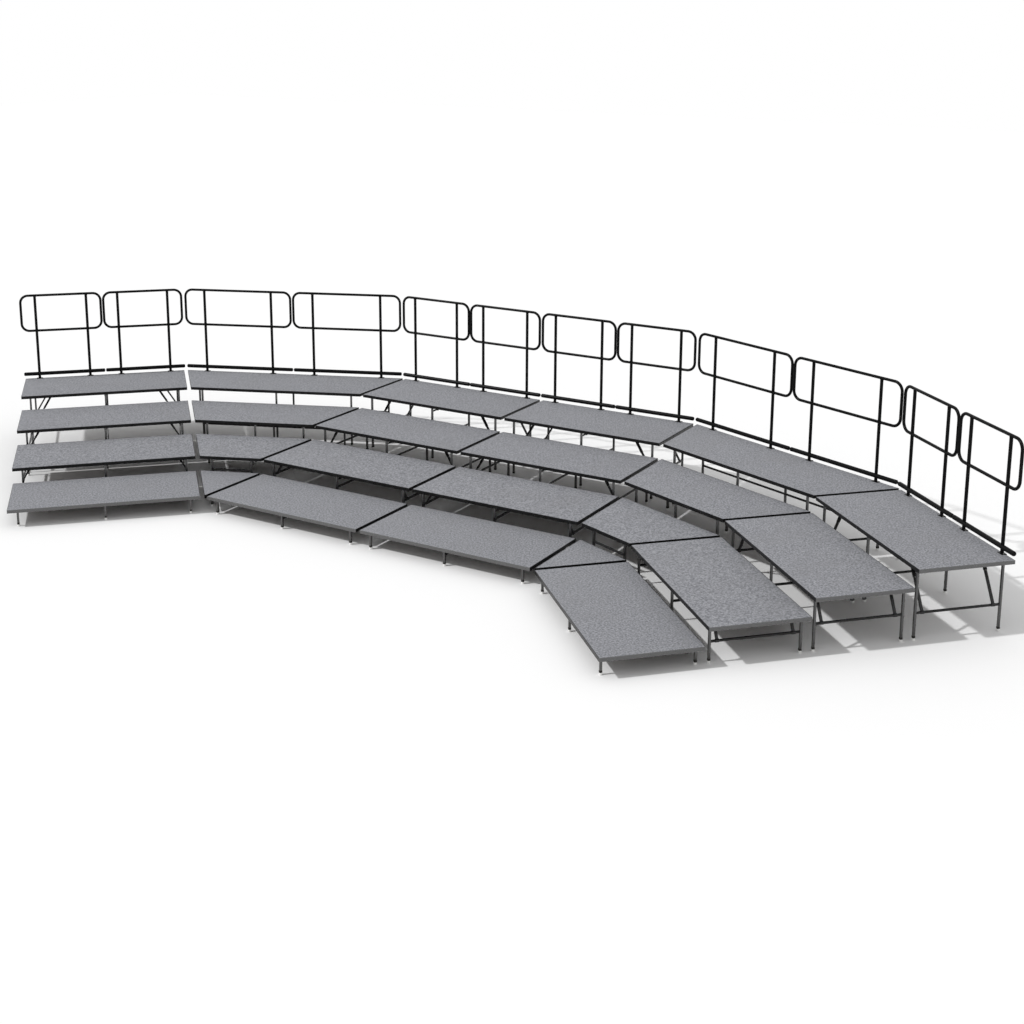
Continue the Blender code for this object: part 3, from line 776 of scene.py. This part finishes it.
def bar(name, finish, start, end, broad, width, thickness, ease):
    """A flat bar between two points, with its width along the broad direction."""
    start, end, broad = Vector(start), Vector(end), Vector(broad).normalized()
    along = (end - start).normalized()
    turn = Matrix((broad.cross(along), broad, along)).transposed()
    bpy.ops.object.select_all(action="DESELECT")
    bpy.ops.mesh.primitive_cube_add(size=1, location=(start + end) / 2, rotation=turn.to_euler())
    bpy.context.object.scale = (thickness, width, (end - start).length)
    piece = new_piece(name, finish)
    open_piece(piece, "EDGE", everything)
    bpy.ops.mesh.bevel(offset=ease, segments=2, affect="EDGES")
    close_piece(piece, 40)
    return piece


def make_leg(x, y, head):
    """One leg with its ferrule and its glide, which is waisted above a rounded foot."""
    leg = bar("leg", leg_coat, (x, y, leg_foot), (x, y, head), (0, 1, 0), leg_width, leg_width, leg_ease)
    bpy.ops.object.select_all(action="DESELECT")
    bpy.ops.mesh.primitive_cylinder_add(vertices=20, radius=glide_radius, depth=glide_foot,
                                        location=(x, y, glide_foot / 2))
    glide = new_piece("glide", glide_finish)
    open_piece(glide, "FACE", lambda face: face.normal.z > 0.9)
    bpy.ops.mesh.inset(thickness=glide_shoulder, depth=glide_step)
    bpy.ops.mesh.extrude_region_move(TRANSFORM_OT_translate={"value": (0, 0, glide_neck)})
    bpy.ops.transform.resize(value=(glide_taper, glide_taper, 1), center_override=(x, y, 0))
    close_piece(glide)
    open_piece(glide, "EDGE", lambda edge: all(corner.co.z < 0.0001 for corner in edge.verts))
    bpy.ops.mesh.bevel(offset=glide_ease, segments=3, affect="EDGES")
    close_piece(glide, 40)
    ferrule = bar("ferrule", ferrule_finish, (x, y, glide_height), (x, y, glide_height + ferrule_height),
                  (0, 1, 0), ferrule_width, ferrule_width, leg_ease)
    return [leg, glide, ferrule]


def make_leg_frame(tier, which):
    """A whole leg frame under one end or the middle of a straight deck."""
    x = stations[which]
    near, far = leg_edge_inset, deck_depth - leg_edge_inset
    pivot = deck_top(tier) - pivot_drop[which]
    head = deck_top(tier) - pivot_drop["inner"] + leg_head
    inner = (near + leg_width / 2 - pipe_wall, far - leg_width / 2 + pipe_wall)
    bars = {pivot: tube_radius}
    if tier in crossbar_height:
        bars[crossbar_height[tier]] = crossbar_radius
    parts = make_leg(x, near, head) + make_leg(x, far, head)
    for z, radius in bars.items():
        parts.append(tube("bar", tube_coat, (x, inner[0], z), (x, inner[1], z), radius))
        for y, side in ((near, 1), (far, -1)):
            parts.append(weld_bead("weld", tube_coat, (x, y + side * leg_width / 2, z), (0, 1, 0), radius))
    for y, side in ((lug_inset, -1), (deck_depth - lug_inset, 1)):
        collar = y + side * (lug_thickness / 2 + collar_gap + collar_half)
        parts.append(tube("collar", tube_coat, (x, collar - collar_half, pivot),
                          (x, collar + collar_half, pivot), tube_radius + collar_lip, open_ends=False))
    return join("leg_frame", parts)


for tier in tiers:
    for which in stations:
        pattern = make_leg_frame(tier, which)
        for unit in straight_units:
            body = f"tier_{tier}_legs_{which}" if unit == "right_wing" else "risers"
            put(pattern, f"{unit}_tier_{tier}_legs_{which}", straight_place(unit, tier), body, "leg_steel",
                node_of(unit, tier, f"leg_frame_{which}"))
        bpy.data.objects.remove(pattern)


# Diagonal braces of the end leg frames. A square tube turns on a sleeve round the crossbar and leans
# inboard to a rod under the board. Its upper third slides in a close socket, bolted through, whose
# blacker, duller coat also paints in the shade that the deck casts on the top of the brace.
brace_from_leg = 0.084
brace_run_per_rise = 0.60
brace_width = 0.032
brace_thickness = 0.022
brace_ease = 0.0035
brace_rod_radius = 0.008
brace_rod_below_edge = 0.0095
brace_rod_overhang = 0.030
brace_sleeve_radius = 0.0190
brace_sleeve_length = 0.040
socket_width = 0.037
socket_thickness = 0.027
socket_share = 0.34
socket_below_rod = 0.004
bolt_radius = 0.0048
bolt_shares = (0.16, 0.34)
brace_paint = (0.013, 0.013, 0.0135, 1.0)
brace_coat = coat("brace_black_coat", brace_paint, 0.8, 0.3, 0.2, 0.35)
# The socket coat is blacker and duller than the brace coat: it is partly painted shade from the deck above.
socket_shade_coat = coat("socket_painted_shade_coat", black_paint, 0.6, 0.15, 0.0, 0.12)


def bolt(name, finish, place, along, radius):
    """A hexagon bolt head on a round washer, facing along a direction."""
    along = Vector(along).normalized()
    turn = along.to_track_quat("Z", "Y").to_euler()
    place = Vector(place)
    parts = []
    for sides, reach, thickness, out in ((18, 1.35, 0.25, 0.12), (6, 1.0, 0.65, 0.55)):
        bpy.ops.object.select_all(action="DESELECT")
        bpy.ops.mesh.primitive_cylinder_add(vertices=sides, radius=reach * radius, depth=thickness * radius,
                                            location=place + along * out * radius, rotation=turn)
        piece = new_piece("bolt_part", finish)
        open_piece(piece, "FACE", lambda face: face.normal.dot(along) > 0.9)
        bpy.ops.mesh.inset(thickness=0.12 * radius, depth=0.08 * radius)
        close_piece(piece, 30)
        parts.append(piece)
    return join(name, parts)


def make_brace(low, high, broad):
    """One brace tube with its socket and bolts between two points."""
    low, high, broad = Vector(low), Vector(high), Vector(broad).normalized()
    run = high - low
    out = broad.cross(run.normalized())
    start = low + run.normalized() * (brace_sleeve_radius * 0.85)
    foot = low + run * (1 - socket_share)
    head = high - run.normalized() * socket_below_rod
    parts = [bar("bar", brace_coat, start, high, broad, brace_width, brace_thickness, brace_ease),
             bar("socket", socket_shade_coat, foot, head, broad, socket_width, socket_thickness, brace_ease)]
    for share in bolt_shares:
        spot = high - run * share
        for side in (-1, 1):
            parts.append(bolt("bolt", zinc_finish, spot + out * side * socket_thickness / 2, out * side,
                              bolt_radius))
    return parts


def make_brace_pair(tier, lean, x):
    """The two braces of an end frame with the sleeves and the rod that join them."""
    z = crossbar_height[tier]
    rise = deck_top(tier) - edge_height - brace_rod_below_edge - z
    run = lean * rise * brace_run_per_rise
    near = leg_edge_inset + brace_from_leg
    far = deck_depth - near
    parts = [tube("rod", brace_coat, (x + run, near - brace_rod_overhang, z + rise),
                  (x + run, far + brace_rod_overhang, z + rise), brace_rod_radius, open_ends=False)]
    for y in (near, far):
        parts += make_brace((x, y, z), (x + run, y, z + rise), (0, 1, 0))
        half = brace_sleeve_length / 2
        parts.append(tube("sleeve", brace_coat, (x, y - half, z), (x, y + half, z), brace_sleeve_radius))
    return join("brace_pair", parts)


for tier in crossbar_height:
    for which, lean in (("inner", 1), ("outer", -1)):
        pattern = make_brace_pair(tier, lean, stations[which])
        for unit in straight_units:
            body = f"tier_{tier}_brace_{which}" if unit == "right_wing" else "risers"
            put(pattern, f"{unit}_tier_{tier}_braces_{which}", straight_place(unit, tier), body, "leg_steel",
                node_of(unit, tier, f"brace_{which}"))
        bpy.data.objects.remove(pattern)


# Wedge legs. A wedge stands on a row of square legs along its front and its back edge, each bolted to
# the board with a round flange. A crossbar is welded along each row on the taller tiers.
wedge_side_inset = 0.185
wedge_edge_inset = 0.070
wedge_nose_leg = 0.280
wedge_middle_leg_from = 1.20
flange_radius = 0.036
flange_thickness = 0.004
flange_bolt_reach = 0.72 * flange_radius


def wedge_row(distance, half_length):
    """Feet in a row across a wedge, with a middle leg where the row is long."""
    reach = half_length - wedge_side_inset
    places = (-reach, 0, reach) if 2 * reach > wedge_middle_leg_from else (-reach, reach)
    return [(x, distance) for x in places]


def make_wedge_legs(tier):
    """All legs and crossbars of one wedge."""
    (front, front_half), (back, back_half) = wedge_edges(tier)
    spread = math.tan(wing_turn / 2)
    under = deck_top(tier) - board_thickness
    rows = [wedge_row(back - wedge_edge_inset, back_half - wedge_edge_inset * spread)]
    if front_half > 0.001:
        rows.append(wedge_row(front + wedge_edge_inset, front_half + wedge_edge_inset * spread))
    else:
        rows.append([(0, wedge_nose_leg)])
    parts = []
    for feet in rows:
        for x, y in feet:
            parts += make_leg(x, y, under - flange_thickness)
            parts.append(tube("flange", leg_coat, (x, y, under - flange_thickness), (x, y, under - 0.0004),
                              flange_radius, open_ends=False))
            for side in (-1, 1):
                parts.append(rivet("flange_bolt", zinc_finish,
                                   (x + side * flange_bolt_reach, y, under - flange_thickness - 0.001),
                                   rivet_radius))
        if tier not in crossbar_height or len(feet) < 2:
            continue
        z = crossbar_height[tier]
        (first, y), (last, _) = feet[0], feet[-1]
        inset = leg_width / 2 - pipe_wall
        parts.append(tube("bar", tube_coat, (first + inset, y, z), (last - inset, y, z), crossbar_radius))
        for end, step in ((first, 1), (last, -1)):
            parts.append(weld_bead("weld", tube_coat, (end + step * leg_width / 2, y, z), (1, 0, 0),
                                   crossbar_radius))
    return join("wedge_legs", parts)


for tier in tiers:
    pattern = make_wedge_legs(tier)
    for unit in wedge_units:
        put(pattern, f"{unit}_tier_{tier}_legs", wedge_place(unit), "risers", "leg_steel",
            node_of(unit, tier, "platform"))
    bpy.data.objects.remove(pattern)


# Guard rails. A bent tube loop is welded to two posts over a fat toe bar with rounded ends, and each
# post stands on a bent saddle plate that hooks over the back edge and is screwed down. Gloss black.
rail_height = 53 * 0.0254
rail_loop_height = 23.5 * 0.0254
rail_corner = 4.5 * 0.0254
rail_tube_radius = 0.019
rail_post_radius = 0.0205
rail_post_place = 0.19
rail_from_back = 0.026
rail_gap = 0.010
toe_bar_radius = 0.028
toe_bar_height = 3 * 0.0254
toe_bar_round = 0.012
saddle_half_width = 0.045
saddle_thickness = 0.006
saddle_tongue = 0.040
saddle_front = 0.028
saddle_gap = 0.0004
saddle_ease = 0.0012
saddle_screw_reach = 0.033
saddle_screw_radius = 0.0055
rail_paint = (0.0045, 0.0045, 0.0047, 1.0)
rail_coat = coat("rail_black_coat", rail_paint, 0.25, 0.03, 0.0, 0.06)


def make_loop(width):
    """The rounded loop: a rectangle with its corners bevelled, turned into a tube."""
    half = width / 2 - rail_tube_radius
    low, high = rail_height - rail_loop_height + rail_tube_radius, rail_height - rail_tube_radius
    bpy.ops.object.select_all(action="DESELECT")
    bpy.ops.mesh.primitive_plane_add(size=1, location=(0, 0, (low + high) / 2), rotation=(math.pi / 2, 0, 0))
    bpy.context.object.scale = (2 * half, high - low, 1)
    loop = bpy.context.object
    bpy.ops.object.transform_apply(location=True, rotation=True, scale=True)
    open_piece(loop, "VERT", everything)
    bpy.ops.mesh.bevel(offset=rail_corner, segments=8, affect="VERTICES")
    bpy.ops.mesh.select_all(action="SELECT")
    bpy.ops.mesh.delete(type="ONLY_FACE")
    close_piece(loop)
    bpy.ops.object.convert(target="CURVE")
    loop.data.bevel_depth = rail_tube_radius
    loop.data.bevel_resolution = 4
    bpy.ops.object.convert(target="MESH")
    loop = new_piece("loop", rail_coat)
    close_piece(loop, 40)
    return loop


def make_saddle(x):
    """A plate bent down behind the deck edge, with a screw at each side of its post."""
    rear = rail_from_back + saddle_gap
    plate = block("saddle", rail_coat, (x - saddle_half_width, -saddle_front, saddle_gap),
                  (x + saddle_half_width, rear + saddle_thickness, saddle_thickness))
    open_piece(plate, "FACE", everything)
    bpy.ops.mesh.bisect(plane_co=(x, rear, 0), plane_no=(0, 1, 0))
    close_piece(plate)
    open_piece(plate, "FACE", lambda face: face.normal.z < -0.9 and face.calc_center_median().y > rear)
    bpy.ops.mesh.extrude_region_move(TRANSFORM_OT_translate={"value": (0, 0, -saddle_tongue - saddle_gap)})
    close_piece(plate)
    open_piece(plate, "EDGE", lambda edge: len(edge.link_faces) == 2 and edge.calc_face_angle() > 0.7)
    bpy.ops.mesh.bevel(offset=saddle_ease, segments=2, affect="EDGES")
    close_piece(plate, 40)
    parts = [plate]
    for side in (-1, 1):
        parts.append(bolt("screw", zinc_finish, (x + side * saddle_screw_reach, 0, saddle_thickness),
                          (0, 0, 1), saddle_screw_radius))
    return parts


def make_rail(width):
    """One guard rail with its origin under the middle of the loop, at deck level."""
    post = width / 2 - rail_post_place * width
    toe = width / 2 - rail_tube_radius / 2
    toe_bar = tube("toe_bar", rail_coat, (-toe, 0, toe_bar_height), (toe, 0, toe_bar_height), toe_bar_radius,
                   open_ends=False)
    open_piece(toe_bar, "EDGE", lambda edge: all(abs(corner.co.x) > toe - 0.0005 for corner in edge.verts)
               and edge.calc_face_angle() > 0.5)
    bpy.ops.mesh.bevel(offset=toe_bar_round, segments=5, affect="EDGES")
    close_piece(toe_bar, 60)
    parts = [make_loop(width), toe_bar]
    for x in (-post, post):
        parts.append(tube("post", rail_coat, (x, 0, saddle_thickness * 0.8),
                          (x, 0, rail_height - rail_tube_radius), rail_post_radius))
        parts.append(weld_bead("post_weld", rail_coat, (x, 0, saddle_thickness + 0.001), (0, 0, 1),
                               rail_post_radius))
        for z in (rail_height - rail_loop_height + 2 * rail_tube_radius, rail_height - 2 * rail_tube_radius):
            parts.append(weld_bead("loop_weld", rail_coat, (x, 0, z), (0, 0, 1), rail_post_radius))
        parts += make_saddle(x)
    return join("guard_rail", parts)


back, back_half = wedge_edges(4)[1]
straight_run = deck_length + seam - rail_gap
top = deck_top(4)
rail_units = {"left_wing": "straight", "left_wedge": "wedge", "centre_left": "straight",
              "centre_right": "straight", "right_wedge": "wedge", "right_wing": "straight"}
rail_patterns = {"straight": make_rail(straight_run / 2 - rail_gap / 2),
                 "wedge": make_rail(back_half - rail_gap)}
number = 1
for unit, kind in rail_units.items():
    for side in (-1, 1):
        if kind == "wedge":
            along = side * back_half / 2
            spot = wedge_place(unit, top) @ Matrix.Translation((along, back - rail_from_back, 0))
        else:
            along = deck_length / 2 + side * straight_run / 4
            spot = straight_place(unit, 4, top) @ Matrix.Translation((along, deck_depth - rail_from_back, 0))
        name = f"guard_rail_{number:02d}"
        put(rail_patterns[kind], f"{name}_tubes", spot, name, "guard_rail", name)
        number += 1
for pattern in rail_patterns.values():
    bpy.data.objects.remove(pattern)


# Clamp knobs. Two fluted plastic knobs hang under the outer end of the third tier of the right wing,
# each on a short threaded neck that tightens a unit clamp against the ledge.
knob_places = {"front": 0.37, "back": 0.49}
knob_radius = 0.019
knob_height = 0.020
knob_neck_length = 0.028
knob_neck_radius = 0.0055
knob_from_end = 0.024
knob_lobes = 8
knob_flute_share = 0.88
knob_dish_rim = 0.004
knob_dish_depth = 0.0015
knob_ease = 0.002
knob_nut_radius = 0.009
knob_below_board = 0.0048
knob_colour = (0.012, 0.012, 0.013, 1.0)

knob_finish, tree, shader = new_finish("knob_black_plastic", 0.5)
pebble = noise(tree, 700.0, 2.0)
scuffed = limit(tree, noise(tree, 55.0, 5.0, 0.7), 0.6, 0.75, 0.0, 0.35)
feed(tree, shader.inputs["Base Color"], mix(tree, scuffed, knob_colour, dust_colour))
feed(tree, shader.inputs["Normal"], relief(tree, pebble, 0.0004, 0.5))


def make_knob():
    """A knob with finger flutes pressed into its rim, and its neck with a nut."""
    bpy.ops.object.select_all(action="DESELECT")
    bpy.ops.mesh.primitive_cylinder_add(vertices=6 * knob_lobes, radius=knob_radius, depth=knob_height,
                                        location=(0, 0, -knob_neck_length - knob_height / 2))
    grip = new_piece("grip", knob_finish)
    step = 2 * math.pi / knob_lobes
    open_piece(grip, "VERT",
               lambda corner: abs(math.atan2(corner.co.y, corner.co.x) % step - step / 2) < step * 0.2)
    bpy.ops.transform.resize(value=(knob_flute_share, knob_flute_share, 1), center_override=(0, 0, 0))
    close_piece(grip)
    open_piece(grip, "EDGE", lambda edge: len(edge.link_faces) == 2 and edge.calc_face_angle() > 1.2)
    bpy.ops.mesh.bevel(offset=knob_ease, segments=3, affect="EDGES")
    close_piece(grip, 35)
    open_piece(grip, "FACE", lambda face: face.normal.z < -0.98)
    bpy.ops.mesh.inset(thickness=knob_dish_rim)
    bpy.ops.mesh.extrude_region_move(TRANSFORM_OT_translate={"value": (0, 0, knob_dish_depth)})
    close_piece(grip, 35)
    neck = tube("neck", zinc_finish, (0, 0, -knob_neck_length - 0.002), (0, 0, 0), knob_neck_radius,
                open_ends=False)
    nut = bolt("nut", zinc_finish, (0, 0, -0.001), (0, 0, -1), knob_nut_radius)
    return join("clamp_knob", [grip, neck, nut])


knob = make_knob()
hang = deck_top(3) - board_thickness - knob_below_board
for where, share in knob_places.items():
    spot = Matrix.Translation((deck_length - knob_from_end, share * deck_depth, hang))
    name = f"clamp_knob_{where}"
    put(knob, f"{name}_grip", straight_place("right_wing", 3) @ spot, name, "knob", name)
bpy.data.objects.remove(knob)
